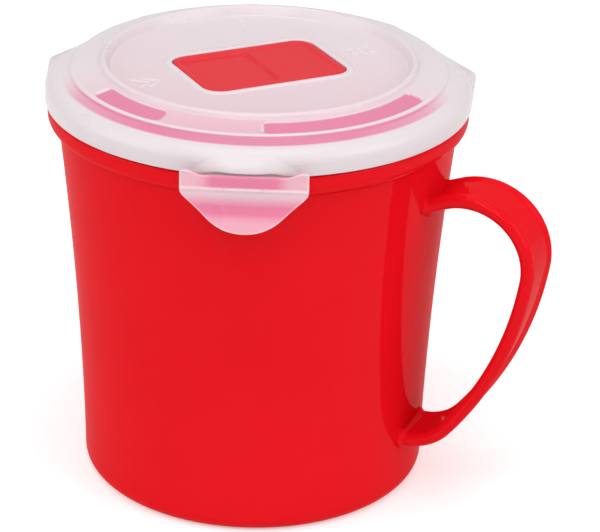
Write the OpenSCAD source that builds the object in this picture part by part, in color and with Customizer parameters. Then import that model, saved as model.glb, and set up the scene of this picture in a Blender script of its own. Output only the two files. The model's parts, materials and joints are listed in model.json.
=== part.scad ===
// Lidded soup mug: a moulded mug with a strap handle, a clip-on lid and a rocking steam vent.
// Origin at the middle of the base, +Z up, the handle along +X.

/* [Mug] */
// Height of the drinking rim above the table
mug_h = 112.8; // [80:0.1:160]
// Outer radius of the wall just under the collar
mug_r = 54.5; // [40:0.1:80]
// How much narrower the wall is at the base than under the collar
wall_taper = 6.3; // [2:0.1:9]
// Exponent of the wall's curve, 1 for a straight taper
wall_curve = 1.72; // [1:0.01:2.5]
// Wall thickness of the mug
mug_wall = 2.2; // [1.6:0.1:3]
// Thickness of the mug's floor
floor_t = 2.6; // [1.6:0.1:5]
// Outer corner radius at the base
base_corner_r = 4; // [1:0.1:6]
// Inner corner radius at the floor
inner_corner_r = 6; // [2:0.1:9]

/* [Collar] */
// How far the collar stands out from the wall
collar_out = 2.9; // [2.2:0.1:4]
// Height of the upright band above the collar's rounded underside
collar_band_h = 3.1; // [1.5:0.1:5]
// Edge radius on top of the collar
collar_edge_r = 0.9; // [0.3:0.1:1.5]
// Height of the neck that stands up inside the lid
neck_h = 3.8; // [3:0.1:6]
// Step from the collar's edge in to the neck
neck_step = 2.4; // [1.6:0.1:3]
// Wall thickness of the neck
neck_wall = 2.6; // [2:0.1:3.5]

/* [Handle] */
// Height of the handle between the middles of its two roots
handle_h = 71; // [60:0.5:76]
// Height of the lower root's middle
handle_low_z = 18.6; // [14:0.1:22]
// Width of the strap
handle_w = 17.6; // [10:0.1:24]
// Thickness over the rounded edges
handle_t = 3.8; // [3:0.1:6]
// Thickness of the web between the edges
web_t = 2.4; // [1.6:0.1:2.8]
// Fillet where the handle meets the wall
root_fillet = 2; // [1:0.1:4]

/* [Lid] */
// Wall thickness of the lid
lid_wall = 1.5; // [1:0.1:2]
// How far the skirt stands outside the collar
skirt_over = 0.6; // [0.2:0.1:1.5]
// Gap between the collar's top and the skirt's lower edge
skirt_gap = 0.35; // [0.2:0.05:1]
// Height of the rim's top above the skirt's lower edge
rim_h = 6.95; // [6:0.05:10]
// Radius of the rounding from the skirt to the rim
rim_round_r = 3.8; // [2:0.1:5]
// Rise from the rim to the shoulder
shoulder_h = 1.7; // [1:0.1:4]
// Rise of the sloping ring from the shoulder to the bead
ring_rise = 1.4; // [0.5:0.1:3]
// Radius at the bead's crest
bead_r = 41.9; // [34:0.1:46]
// Half the width of the bead
bead_half_w = 1.4; // [1:0.1:2.4]
// Height of the bead above its outer foot
bead_h = 1.3; // [0.4:0.1:2]
// Drop from the bead's outer foot to the middle disc
disc_drop = 1.4; // [0.3:0.1:2]
// Depth of the plug wall below the rim's underside
plug_h = 7.3; // [6.2:0.1:8.5]
// Gap between the plug wall and the mug's neck
plug_gap = 1.2; // [0.4:0.1:1.6]
// Turn of the lid on the mug, from the clip facing -Y
lid_turn = 21.3; // [0:0.1:40]

/* [Lift corners] */
// Reach of each pointed corner from the axis, past the skirt
corner_out = 3.4; // [2:0.1:8]
// Angle of the corners round from the front clip
corner_angle = 104.5; // [95:0.5:130]
// Tip radius of a corner
corner_tip_r = 1.4; // [0.6:0.1:2]
// Height of a corner
corner_h = 3.3; // [2:0.1:4]

/* [Clear panels] */
// Depth of the two clear panels in the sloping ring
panel_depth = 0.5; // [0.2:0.1:0.8]
// Margin from a panel to the bead
panel_margin = 1.1; // [0.6:0.1:1.8]
// Margin from a panel to the shoulder
shoulder_margin = 1.1; // [0.6:0.1:4]

/* [Clips] */
// Width of a clip
clip_w = 33; // [26:0.1:40]
// Thickness of a clip
clip_t = 1.5; // [1.2:0.1:2]
// Length of a clip below its hinge line
clip_len = 14.7; // [12.5:0.1:18]
// Width of the hinge line between a clip's two ears
clip_hinge_w = 24; // [18:0.5:24]
// Height of the ears above the hinge line
ear_h = 2; // [1:0.1:2.1]
// Width of the catch inside a clip
catch_w = 20; // [12:0.5:24]
// Depth of the catch below the hinge line
catch_drop = 5.6; // [5:0.1:6.5]
// Height of the catch
catch_h = 2.4; // [1.5:0.1:3]
// Reach of the catch under the collar's ledge
catch_bite = 1.2; // [0.6:0.1:1.6]

/* [Vent] */
// Length of the vent's opening
vent_l = 42.4; // [36:0.2:46]
// Width of the vent's opening
vent_w = 29.4; // [22:0.2:32]
// Corner radius of the opening
vent_corner_r = 5.3; // [3:0.1:8]
// Turn of the vent's long axis from the line across the clips
vent_turn = 28.7; // [0:0.1:90]
// Gap round the rocker
vent_gap = 0.3; // [0.25:0.05:0.6]
// Depth of the well below the disc's top
well_depth = 6.2; // [5.6:0.1:8]
// Radius of the steam hole
steam_hole_r = 3.5; // [2:0.1:4]
// Distance of the steam hole from the pivot
steam_hole_off = 10.8; // [9:0.1:12]
// Radius of the pivot pins
pin_r = 1.5; // [1:0.1:1.8]
// Radial clearance of the pivot pins
pin_gap = 0.05; // [0.02:0.01:0.1]
// Offset of the pivot from the vent's middle
pivot_off = 1.7; // [0:0.1:3]

/* [Hidden] */
$fn = 128;

// Overrun of every cut past the face it opens
over = mug_wall / 2;
// Gap between pieces that rest on or move past each other
rest_gap = 0.3;

// Mug: radii and heights
base_r = mug_r - wall_taper;
collar_r = mug_r + collar_out;
collar_top_z = mug_h - neck_h;
collar_arc_r = 1.04 * collar_out;
collar_mid_z = collar_top_z - collar_band_h;
collar_low_z = collar_mid_z - sqrt(pow(collar_arc_r, 2) - pow(collar_arc_r - collar_out, 2));
neck_r = collar_r - neck_step;
bore_r = neck_r - neck_wall;
lip_r = 1;
wall_steps = 14;

// Handle: arcs of the centre line, up from the lower root
handle_arc_shares = [0.211, 1.384, 0.248];
handle_turns = [48, 31.4, 119.1];
handle_root_angle = 3;
handle_root_in = 3;
handle_top_in = 6.4;
handle_lead = 1.8;
handle_start = [base_r + handle_lead, handle_low_z];
arc_joint_len = 1;
arc_joint_grow = 0.1;
edge_r = handle_t / 2;
edge_mid = handle_w / 2 - edge_r;
edge_end_angle = asin(web_t / handle_t);
root_steps = 6;
root_sink = 0.7;
root_w = handle_w - 1.6 * edge_r;

// Lid: radii and heights
skirt_r = collar_r + skirt_over;
skirt_in_r = skirt_r - lid_wall;
skirt_z = collar_top_z + skirt_gap;
rim_z = skirt_z + rim_h;
roof_z = rim_z - lid_wall;
plug_r = bore_r - plug_gap;
plug_in_r = plug_r - lid_wall;
shoulder_r = plug_r - shoulder_h / 8;
rim_in_r = skirt_r - rim_round_r;
shoulder_z = rim_z + shoulder_h;
bead_foot_z = shoulder_z + ring_rise;
bead_out_r = bead_r + bead_half_w;
bead_in_r = bead_r - bead_half_w;
disc_z = bead_foot_z - disc_drop;
disc_r = bead_in_r + lid_wall / 3;

// Clear panels: where each starts and ends, in degrees round from the line across the clips
panel_starts = [-147.8, -85.7];
panel_ends = [-117.8, -24.8];

// Clips: the hinge line's place, from the lid's axis and above the table
hinge_bead_r = clip_t / 2;
hinge_y = skirt_r + rest_gap + hinge_bead_r + clip_t / 6;
hinge_z = skirt_z + rest_gap;
clip_in_y = hinge_y - hinge_bead_r;
clip_out_y = hinge_y + hinge_bead_r;
lug_out_y = hinge_y + hinge_bead_r / 2;
clip_tip_flare = clip_t;
clip_ridge_out = clip_t / 3;
clip_ridge_drop = catch_drop / 2;
clip_waist_drop = catch_drop + catch_h / 1.1;
clip_bend_r = clip_len - clip_t / 4;
ear_w = (clip_w - clip_hinge_w) / 2 - rest_gap;
catch_pocket_gap = clip_t / 2;
catch_tip_y = collar_r - catch_bite;

// Vent: the rocker's sizes and the pivot's height
rocker_l = vent_l - 2 * vent_gap;
rocker_w = vent_w - 2 * vent_gap;
rocker_corner_r = vent_corner_r - vent_gap;
rocker_t = 2;
rocker_rise = 0.2;
rocker_top_z = disc_z + rocker_rise;
rocker_low_z = rocker_top_z - rocker_t;
rocker_frame_w = 1.9;
rocker_ridge_w = 1;
press_depth = 0.9;
lift_depth = 0.4;
well_floor_z = disc_z - well_depth;
vent_lip_h = 0.3;
vent_lip_w = 1.8;
pivot_z = rocker_low_z - 0.9 * pin_r;
pin_boss_r = 1.6 * pin_r;
plug_pad_r = steam_hole_r + 1;
plug_tip_r = steam_hole_r - 0.6;
plug_tip_drop = 0.8;
plug_stem_r = 1.6;
plug_stem_h = 0.7;
plug_fit = pin_gap;

// Colours as the pieces are moulded
RED = [0.84, 0.06, 0.08];
CLEAR = [0.93, 0.89, 0.9, 0.7];
SILICONE = [0.9, 0.9, 0.89, 0.8];

// Points of an arc about [cx, cy], from angle a0 to a1 in n steps
function arc(cx, cy, r, a0, a1, n) =
    [for (i = [0:n]) let (a = a0 + (a1 - a0) * i / n) [cx + r * cos(a), cy + r * sin(a)]];

// Outer radius of the mug's wall at height z, under the collar
function wall_r(z) =
    base_r + wall_taper * pow(max(0, z) / collar_low_z, wall_curve);

// Radius, heading, start and centre of arc i of the handle's centre line
function arc_r(i) = handle_arc_shares[i] * handle_h;
function heading(i) = i == 0 ? handle_root_angle : heading(i - 1) + handle_turns[i - 1];
function start_of(i) =
    i == 0 ? handle_start : centre_of(i - 1) + arc_r(i - 1) * [sin(heading(i)), -cos(heading(i))];
function centre_of(i) = start_of(i) + arc_r(i) * [-sin(heading(i)), cos(heading(i))];

// Direction of a heading in the handle's plane
function toward(angle) = [cos(angle), sin(angle)];

// Concave fillet of radius r in the corner between unit directions a and b
function fillet(corner, a, b, r) =
    let (half = acos(a * b) / 2, along = r / tan(half), m = (a + b) / norm(a + b),
        c = corner + m * r / sin(half))
    concat([corner - m * r], [for (k = [0:root_steps])
        let (t = k / root_steps,
            d = (corner + along * a - c) * (1 - t) + (corner + along * b - c) * t)
        c + r * d / norm(d)]);

// Half of the strap's section, grown all round by grow
function half_section(grow) = concat(
    [for (p = arc(-edge_mid, 0, edge_r + grow, 180, edge_end_angle, 5)) [p[1], p[0]]],
    [for (p = arc(edge_mid, 0, edge_r + grow, 180 - edge_end_angle, 0, 5)) [p[1], p[0]]]);

// Wall and floor of the mug, collar and neck, as outlines from the axis outwards
function mug_outer() = concat(
    [[0, 0]],
    arc(wall_r(base_corner_r) - base_corner_r, base_corner_r, base_corner_r, -90, 0, 8),
    [for (i = [1:wall_steps - 1])
        let (z = base_corner_r + (collar_low_z - base_corner_r) * i / wall_steps) [wall_r(z), z]],
    arc(collar_r - collar_arc_r, collar_mid_z, collar_arc_r,
        -acos((collar_arc_r - collar_out) / collar_arc_r), 0, 8),
    arc(collar_r - collar_edge_r, collar_top_z - collar_edge_r, collar_edge_r, 0, 90, 4),
    [[neck_r, collar_top_z]],
    arc(neck_r - lip_r, mug_h - lip_r, lip_r, 0, 90, 5),
    [[0, mug_h]]);

function mug_inner() = concat(
    [[0, floor_t]],
    arc(wall_r(floor_t + inner_corner_r) - mug_wall - inner_corner_r, floor_t + inner_corner_r,
        inner_corner_r, -90, 0, 8),
    [for (i = [1:wall_steps]) let (z = floor_t + inner_corner_r
            + (collar_low_z - floor_t - inner_corner_r) * i / wall_steps) [wall_r(z) - mug_wall, z]],
    [[bore_r, collar_mid_z], [bore_r, mug_h - lip_r]],
    arc(bore_r + lip_r, mug_h - lip_r, lip_r, 180, 90, 5),
    [[bore_r + lip_r, mug_h + over], [0, mug_h + over]]);

// Section of the strap: a web between two round edges
module strap_section(grow) {
    half = half_section(grow);
    polygon(concat(half, [for (i = [len(half) - 2:-1:1]) [-half[i][0], half[i][1]]]));
}

// Straight run of the strap on both sides of the start of arc i
module strap_run(i, back, ahead) {
    at = start_of(i);
    translate([at[0], 0, at[1]]) rotate([0, 90 - heading(i), 0]) translate([0, 0, -back])
        linear_extrude(back + ahead) strap_section(arc_joint_grow);
}

// Fillet between the wall and the strap at a root, on the side above or below it
module root_corner(root, angle, side) {
    near = root + side * edge_r * [-sin(angle), cos(angle)];
    wall = wall_r(near[1]) - root_sink;
    corner = [wall, near[1] + (wall - near[0]) * tan(angle)];
    up = [wall_r(corner[1] + side) - wall_r(corner[1]), side];
    rotate([90, 0, 0]) linear_extrude(root_w, center = true)
        polygon(fillet(corner, up / norm(up), toward(angle), root_fillet));
}

// The strap handle: three tangent arcs, with a short run where each one starts or ends
module handle() {
    strap_run(0, handle_root_in, arc_joint_len);
    for (i = [0:2]) translate([centre_of(i)[0], 0, centre_of(i)[1]]) rotate([90, 0, 0])
        rotate([0, 0, heading(i) - 90]) rotate_extrude(angle = handle_turns[i])
        translate([arc_r(i), 0]) strap_section(0);
    for (i = [1, 2]) strap_run(i, arc_joint_len, arc_joint_len);
    strap_run(3, arc_joint_len, handle_top_in);
    for (side = [-1, 1]) {
        root_corner(start_of(0), heading(0), side);
        root_corner(start_of(3), heading(3) - 180, side);
    }
}

// Pocket in the collar that a clip's catch snaps into
module catch_pocket() {
    pocket_w = catch_w + 2 * clip_t;
    low_z = hinge_z - catch_drop - catch_h - catch_pocket_gap;
    high_z = hinge_z - catch_drop + catch_pocket_gap / 1.5;
    translate([-pocket_w / 2, -collar_r - over, low_z])
        cube([pocket_w, over + catch_bite + catch_pocket_gap + clip_t / 4, high_z - low_z]);
}

module mug_body() {
    color(RED) difference() {
        union() {
            rotate([0, 0, 180]) rotate_extrude() polygon(mug_outer());
            handle();
        }
        rotate([0, 0, 180]) rotate_extrude() polygon(mug_inner());
        rotate([0, 0, lid_turn]) for (side = [0, 180]) rotate([0, 0, side]) catch_pocket();
    }
}

// Rounded rectangle about the middle, drawn flat
module rounded_rect(l, w, r) {
    union() {
        square([l - 2 * r, w], center = true);
        square([l, w - 2 * r], center = true);
        for (sx = [-1, 1], sy = [-1, 1]) translate([sx * (l / 2 - r), sy * (w / 2 - r)]) circle(r);
    }
}

// Outline of the lid's shell: over the top from the skirt to the axis, and back underneath
function lid_outer() = concat(
    [[skirt_r, skirt_z]],
    arc(skirt_r - rim_round_r, rim_z - rim_round_r, rim_round_r, 0, 90, 8),
    [[shoulder_r + shoulder_h / 4, shoulder_z - shoulder_h / 4]],
    [[shoulder_r, shoulder_z]],
    [[shoulder_r - shoulder_h / 3, shoulder_z + ring_rise / 12]],
    [for (i = [0:8]) let (a = 180 * i / 8)
        [bead_r + bead_half_w * cos(a),
         bead_foot_z + bead_h * sin(a) - (i > 4 ? disc_drop * (i - 4) / 4 : 0)]],
    [[0, disc_z]]);

function lid_inner() = concat(
    [[0, disc_z - lid_wall], [disc_r, disc_z - lid_wall]],
    [for (i = [0:4]) let (a = 180 - 180 * i / 4)
        [bead_r + (bead_half_w - lid_wall / 1.6) * cos(a), bead_foot_z + bead_h * sin(a) - lid_wall]],
    [[plug_in_r, shoulder_z - lid_wall],
     [plug_in_r, roof_z - plug_h], [plug_r, roof_z - plug_h], [plug_r, roof_z],
     [rim_in_r, roof_z]],
    arc(rim_in_r, roof_z - (skirt_in_r - rim_in_r), skirt_in_r - rim_in_r, 90, 0, 6),
    [[skirt_in_r, skirt_z]]);

// Pointed corner of the skirt at an angle round from the line across the clips
module lift_corner(angle) {
    reach = skirt_r + corner_out - corner_tip_r;
    beta = acos((skirt_r - corner_tip_r) / reach);
    rotate([0, 0, angle]) translate([0, 0, skirt_z]) linear_extrude(corner_h) difference() {
        polygon(concat(
            [[skirt_r * cos(beta), -skirt_r * sin(beta)]],
            arc(reach, 0, corner_tip_r, -beta, beta, 6),
            [[skirt_r * cos(beta), skirt_r * sin(beta)]]));
        circle(skirt_r - lid_wall / 2);
    }
}

// Clear panel: a shallow sunk band of the sloping ring, between two angles
module clear_panel(a0, a1) {
    out_r = shoulder_r - shoulder_margin;
    in_r = bead_out_r + panel_margin;
    slope = (bead_foot_z - shoulder_z) / (shoulder_r - bead_out_r);
    in_z = bead_foot_z - panel_depth - slope * panel_margin;
    out_z = in_z - slope * (out_r - in_r);
    top_z = bead_foot_z + bead_h;
    rotate([0, 0, a0]) rotate_extrude(angle = a1 - a0)
        polygon([[in_r, in_z], [out_r, out_z], [out_r, top_z], [in_r, top_z]]);
}

// Lug under the rim that carries a clip's hinge line, in front of -Y
module hinge_lug() {
    low = hinge_z + hinge_bead_r + rest_gap;
    high = rim_z - rim_round_r + lid_wall;
    translate([-clip_hinge_w / 2, 0, 0]) rotate([90, 0, 90]) linear_extrude(clip_hinge_w)
        polygon([[-skirt_r + lid_wall, low], [-lug_out_y, low], [-lug_out_y, low + clip_t / 2],
            [-skirt_r - clip_t / 8, high], [-skirt_r + lid_wall, high]]);
}

// Where the vent sits: the middle disc, turned from the line across the clips
module at_vent() {
    rotate([0, 0, vent_turn]) children();
}

module lid() {
    well_l = vent_l + 2 * lid_wall;
    well_w = vent_w + 2 * lid_wall;
    color(CLEAR) rotate([0, 0, lid_turn]) difference() {
        union() {
            rotate_extrude() polygon(concat(lid_outer(), lid_inner()));
            for (angle = [corner_angle - 90, -corner_angle - 90]) lift_corner(angle);
            for (side = [0, 180]) rotate([0, 0, side]) hinge_lug();
            at_vent() {
                translate([0, 0, well_floor_z - lid_wall]) linear_extrude(well_depth)
                    rounded_rect(well_l, well_w, vent_corner_r + lid_wall);
                translate([0, 0, disc_z - lid_wall]) linear_extrude(lid_wall + vent_lip_h)
                    rounded_rect(vent_l + 2 * vent_lip_w, vent_w + 2 * vent_lip_w,
                        vent_corner_r + vent_lip_w);
            }
        }
        for (i = [0, 1]) clear_panel(panel_starts[i], panel_ends[i]);
        at_vent() {
            translate([0, 0, well_floor_z]) linear_extrude(well_depth + vent_lip_h + over)
                rounded_rect(vent_l, vent_w, vent_corner_r);
            translate([pivot_off + steam_hole_off, 0, well_floor_z - lid_wall - over])
                cylinder(h = lid_wall + 2 * over, r = steam_hole_r);
            translate([pivot_off, 0, pivot_z]) rotate([90, 0, 0])
                cylinder(h = well_w + 2 * over, r = pin_r + pin_gap, center = true);
        }
    }
}

module lid_seal() {
    in_r = plug_r + rest_gap / 2;
    out_r = rim_in_r;
    low = mug_h + rest_gap;
    bulge_r = (roof_z - low) / 2;
    color(SILICONE) rotate_extrude() polygon(concat(
        [[in_r, roof_z]],
        arc(in_r + bulge_r, roof_z - bulge_r, bulge_r, 180, 270, 5),
        arc(out_r - bulge_r, roof_z - bulge_r, bulge_r, -90, 0, 5),
        [[out_r, roof_z]]));
}

// Face of a clip, drawn flat: ears beside the hinge line, slanted sides and a round tip
module clip_face() {
    side_z = -clip_len + clip_bend_r * (1 - cos(45)) + (clip_w / 2 - clip_bend_r * sin(45));
    half = concat(
        [[0, hinge_bead_r / 2], [clip_w / 2 - ear_w, hinge_bead_r / 2],
         [clip_w / 2 - ear_w, ear_h - ear_h / 4], [clip_w / 2 - ear_w + ear_w / 8, ear_h],
         [clip_w / 2 - ear_w / 4, ear_h], [clip_w / 2, ear_h / 2], [clip_w / 2, side_z]],
        arc(0, clip_bend_r - clip_len, clip_bend_r, -45, -90, 8));
    polygon(concat(half, [for (i = [len(half) - 2:-1:1]) [-half[i][0], half[i][1]]]));
}

// Thickness of a clip from the side: ridge, waist and a lip that flares out at the tip
function clip_side() = [
    [clip_in_y, ear_h], [clip_out_y, ear_h], [clip_out_y, -clip_ridge_drop + clip_t],
    [clip_out_y + clip_ridge_out, -clip_ridge_drop], [clip_out_y, -clip_ridge_drop - clip_t],
    [clip_out_y - clip_t / 6, -clip_waist_drop], [clip_out_y + clip_tip_flare / 3, -clip_len + 2 * clip_t],
    [clip_out_y + clip_tip_flare, -clip_len - over], [clip_in_y + clip_tip_flare, -clip_len - over],
    [clip_in_y + clip_tip_flare / 3, -clip_len + 2 * clip_t], [clip_in_y, -clip_waist_drop]];

// One clip, closed, in front of -Y
module clip() {
    translate([0, 0, hinge_z]) {
        intersection() {
            translate([0, -clip_in_y + over, 0]) rotate([90, 0, 0])
                linear_extrude(clip_t + clip_tip_flare + clip_ridge_out + 2 * over) clip_face();
            translate([-clip_w, 0, 0]) rotate([90, 0, 90]) linear_extrude(2 * clip_w)
                polygon([for (p = clip_side()) [-p[0], p[1]]]);
        }
        translate([-clip_hinge_w / 2, -hinge_y, 0]) rotate([0, 90, 0])
            cylinder(h = clip_hinge_w, r = hinge_bead_r);
        translate([-catch_w / 2, 0, 0]) rotate([90, 0, 90]) linear_extrude(catch_w)
            polygon([[-clip_in_y - clip_t / 2, -catch_drop], [-catch_tip_y, -catch_drop],
                [-catch_tip_y, -catch_drop - catch_h / 3], [-clip_in_y, -catch_drop - catch_h],
                [-clip_in_y - clip_t / 2, -catch_drop - catch_h]]);
    }
}

module front_clip() {
    color(CLEAR) rotate([0, 0, lid_turn]) clip();
}

module rear_clip() {
    color(CLEAR) rotate([0, 0, lid_turn + 180]) clip();
}

// Sunk press area of the rocker between u0 and u1 along its length
module rocker_dish(u0, u1, depth) {
    l = u1 - u0;
    w = rocker_w - 2 * rocker_frame_w;
    r = rocker_corner_r - rocker_frame_w;
    translate([(u0 + u1) / 2, 0, rocker_top_z - depth]) linear_extrude(depth + over)
        rounded_rect(l, w, r);
}

module vent_rocker() {
    end = rocker_l / 2 - rocker_frame_w;
    ridge = rocker_ridge_w / 2;
    stem_x = pivot_off + steam_hole_off;
    color(RED) rotate([0, 0, lid_turn]) at_vent() difference() {
        union() {
            translate([0, 0, rocker_low_z]) linear_extrude(rocker_t)
                rounded_rect(rocker_l, rocker_w, rocker_corner_r);
            for (side = [-1, 1]) {
                translate([pivot_off, side * (rocker_w / 2 - rocker_frame_w / 2), pivot_z])
                    rotate([90, 0, 0])
                    cylinder(h = rocker_frame_w, r = pin_boss_r, center = true);
                translate([pivot_off, side * (vent_w / 2 + lid_wall / 2 - rocker_frame_w / 2), pivot_z])
                    rotate([90, 0, 0])
                    cylinder(h = lid_wall + rocker_frame_w, r = pin_r, center = true);
            }
        }
        rocker_dish(-end, pivot_off - ridge, press_depth);
        rocker_dish(pivot_off + ridge, end, lift_depth);
        translate([stem_x, 0, rocker_low_z - over])
            cylinder(h = over + plug_stem_h + plug_fit, r = plug_stem_r);
    }
}

module vent_plug() {
    pad_low = well_floor_z + rest_gap;
    color(SILICONE) rotate([0, 0, lid_turn]) at_vent()
        translate([pivot_off + steam_hole_off, 0, 0]) rotate_extrude() polygon([
            [0, well_floor_z - plug_tip_drop], [plug_tip_r * 0.8, well_floor_z - plug_tip_drop],
            [plug_tip_r, pad_low], [plug_pad_r, pad_low], [plug_pad_r, pad_low + plug_tip_drop],
            [plug_tip_r, pad_low + 2 * plug_tip_drop], [plug_tip_r, rocker_low_z],
            [plug_stem_r - plug_fit, rocker_low_z], [plug_stem_r - plug_fit, rocker_low_z + plug_stem_h],
            [0, rocker_low_z + plug_stem_h]]);
}

mug_body();
lid();
lid_seal();
front_clip();
rear_clip();
vent_rocker();
vent_plug();
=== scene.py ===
"""Looks of the lidded soup mug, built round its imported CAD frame.

Every shape is a grid of points worked out with numpy in millimetres, in the frame of the CAD part:
Z is up from the middle of the base, and X points to the handle. Angles are in degrees unless a
docstring says radians.
"""

import json
import logging
from dataclasses import dataclass, field
from enum import Enum

import bmesh
import bpy
import numpy as np
from mathutils import Matrix

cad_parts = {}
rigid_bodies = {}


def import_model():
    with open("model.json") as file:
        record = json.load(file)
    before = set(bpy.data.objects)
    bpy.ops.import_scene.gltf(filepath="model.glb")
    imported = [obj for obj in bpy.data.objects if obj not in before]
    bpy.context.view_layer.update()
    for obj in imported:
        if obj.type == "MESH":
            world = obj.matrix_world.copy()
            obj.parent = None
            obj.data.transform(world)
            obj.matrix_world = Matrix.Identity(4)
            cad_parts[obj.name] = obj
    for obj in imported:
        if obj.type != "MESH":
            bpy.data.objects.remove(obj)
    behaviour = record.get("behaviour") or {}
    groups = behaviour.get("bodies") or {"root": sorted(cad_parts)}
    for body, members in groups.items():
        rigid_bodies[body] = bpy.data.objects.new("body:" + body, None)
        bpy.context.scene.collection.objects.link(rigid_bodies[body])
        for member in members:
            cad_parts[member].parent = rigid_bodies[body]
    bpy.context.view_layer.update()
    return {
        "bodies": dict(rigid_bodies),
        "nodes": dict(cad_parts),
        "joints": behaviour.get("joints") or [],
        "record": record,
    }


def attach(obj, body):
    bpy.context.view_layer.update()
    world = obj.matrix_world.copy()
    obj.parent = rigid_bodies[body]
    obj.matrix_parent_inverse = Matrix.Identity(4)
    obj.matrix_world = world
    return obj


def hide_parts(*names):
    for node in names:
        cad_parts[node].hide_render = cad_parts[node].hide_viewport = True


LOG = logging.getLogger("soup_mug")
MM = 0.001

# Directions of the front clip and of the vent's long axis, and two sizes that several pieces share.
CLIP_ANGLE = -68.7
VENT_ANGLE = 50.0
SKIRT_R = 58.0
DISC_Z = 118.0

Array = np.ndarray
Colour = tuple[float, ...]
Material = bpy.types.Material
Object = bpy.types.Object
Socket = bpy.types.NodeSocket
Tree = bpy.types.NodeTree


class Slot(Enum):
    """Material slots of the CAD record."""

    RED = "red_plastic"
    FROSTED = "frosted_plastic"
    SILICONE = "silicone"


class Body(Enum):
    """Moving bodies of the CAD record."""

    MUG = "mug"
    LID = "lid"
    FRONT_CLIP = "front_clip"
    REAR_CLIP = "rear_clip"
    VENT = "vent"


# Arrays


def smoothstep(x: Array | float) -> Array:
    """Cubic ramp 3t^2 - 2t^3, where t is x cut to the range 0 to 1."""
    t = np.clip(x, 0.0, 1.0)
    return t * t * (3.0 - 2.0 * t)


def bell(x: Array, power: int = 2) -> Array:
    """Bell curve, e to the minus x to an even power: the higher the power, the flatter the top."""
    return np.exp(-(x**power))


def arc(cx: float, cy: float, r: float, start: float, end: float, count: int) -> Array:
    """Evenly spaced points of a circle round (cx, cy), from the start angle to the end one."""
    a = np.radians(np.linspace(start, end, count))
    return np.stack([cx + r * np.cos(a), cy + r * np.sin(a)], axis=1)


def run(a: tuple[float, float], b: tuple[float, float], count: int) -> Array:
    """Evenly spaced points of the straight line from a to b, without b itself."""
    t = np.linspace(0.0, 1.0, count, endpoint=False)[:, None]
    return np.asarray(a) * (1.0 - t) + np.asarray(b) * t


def polar(r: Array | float, angle: Array, z: Array | float) -> Array:
    """Points (r cos a, r sin a, z), in the shape that radii, angles and heights make together."""
    r, a, z = np.broadcast_arrays(r, np.radians(angle), z)
    return np.stack([r * np.cos(a), r * np.sin(a), z], axis=-1)


def turned(points: Array, angle: float) -> Array:
    """Points turned about Z from +X towards +Y: x cos a - y sin a, and x sin a + y cos a."""
    c, s = np.cos(np.radians(angle)), np.sin(np.radians(angle))
    return points @ np.array([[c, s, 0.0], [-s, c, 0.0], [0.0, 0.0, 1.0]])


def rounded_rect_radius(angle: Array, length: float, width: float, r: float) -> Array:
    """Distance from the middle of a rounded rectangle to its edge, in each direction.

    To a straight side it is half the length over |cos| or half the width over |sin|. Where that point
    lies past a corner's centre, the ray meets the corner's circle instead.

    Args:
        angle: Directions in radians from the long axis.
        length: Size along the long axis.
        width: Size across it.
        r: Corner radius.

    Returns:
        Distances, shaped as angle.
    """
    c, s = np.abs(np.cos(angle)), np.abs(np.sin(angle))
    straight = np.minimum(length / 2 / np.maximum(c, 1e-9), width / 2 / np.maximum(s, 1e-9))
    cx, cy = length / 2 - r, width / 2 - r
    along = c * cx + s * cy
    corner = along + np.sqrt(np.maximum(r * r - (cx * cx + cy * cy - along * along), 0.0))
    return np.where((straight * c > cx) & (straight * s > cy), corner, straight)


def rounded_rect_distance(u: Array, v: Array, length: float, width: float, r: float) -> Array:
    """Signed distance to the edge of a rounded rectangle, negative inside it.

    It is the length of the part of (|u|, |v|) past the corner's centre, plus the larger of the two
    where both are negative, less the corner's radius.

    Args:
        u: Positions along the long axis.
        v: Positions across it.
        length: Size along the long axis.
        width: Size across it.
        r: Corner radius.

    Returns:
        Distances.
    """
    qx, qy = np.abs(u) - (length / 2 - r), np.abs(v) - (width / 2 - r)
    outside = np.hypot(np.maximum(qx, 0.0), np.maximum(qy, 0.0))
    return outside + np.minimum(np.maximum(qx, qy), 0.0) - r


# Meshes


def grid_faces(rows: int, cols: int, wrap_rows: bool, wrap_cols: bool, offset: int = 0) -> Array:
    """Quads of a grid whose point (i, j) is numbered i * cols + j.

    Args:
        rows: Number of rows.
        cols: Number of columns.
        wrap_rows: True if the last row joins the first.
        wrap_cols: True if the last column joins the first.
        offset: Number of the first point.

    Returns:
        Array of shape (quads, 4).
    """
    i, j = np.arange(rows if wrap_rows else rows - 1), np.arange(cols if wrap_cols else cols - 1)
    ii, jj = np.meshgrid(i, j, indexing="ij")
    i2, j2 = (ii + 1) % rows, (jj + 1) % cols
    quads = np.stack([ii * cols + jj, ii * cols + j2, i2 * cols + j2, i2 * cols + jj], axis=-1)
    return quads.reshape(-1, 4) + offset


def tube_faces(rows: int, cols: int, offset: int = 0) -> list[Array]:
    """Quads of a grid whose rows are closed rings, and one face over each of its two ends."""
    ends = [(np.arange(cols) + offset + row * cols)[None, :] for row in (0, rows - 1)]
    return [grid_faces(rows, cols, False, True, offset), *ends]


def point_outwards(obj: Object) -> None:
    """Merges double points of a closed mesh and turns its faces outwards.

    Args:
        obj: The object whose mesh is mended.
    """
    work = bmesh.new()
    work.from_mesh(obj.data)
    bmesh.ops.remove_doubles(work, verts=work.verts, dist=1e-7)
    bmesh.ops.recalc_face_normals(work, faces=work.faces)
    work.to_mesh(obj.data)
    work.free()


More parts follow.
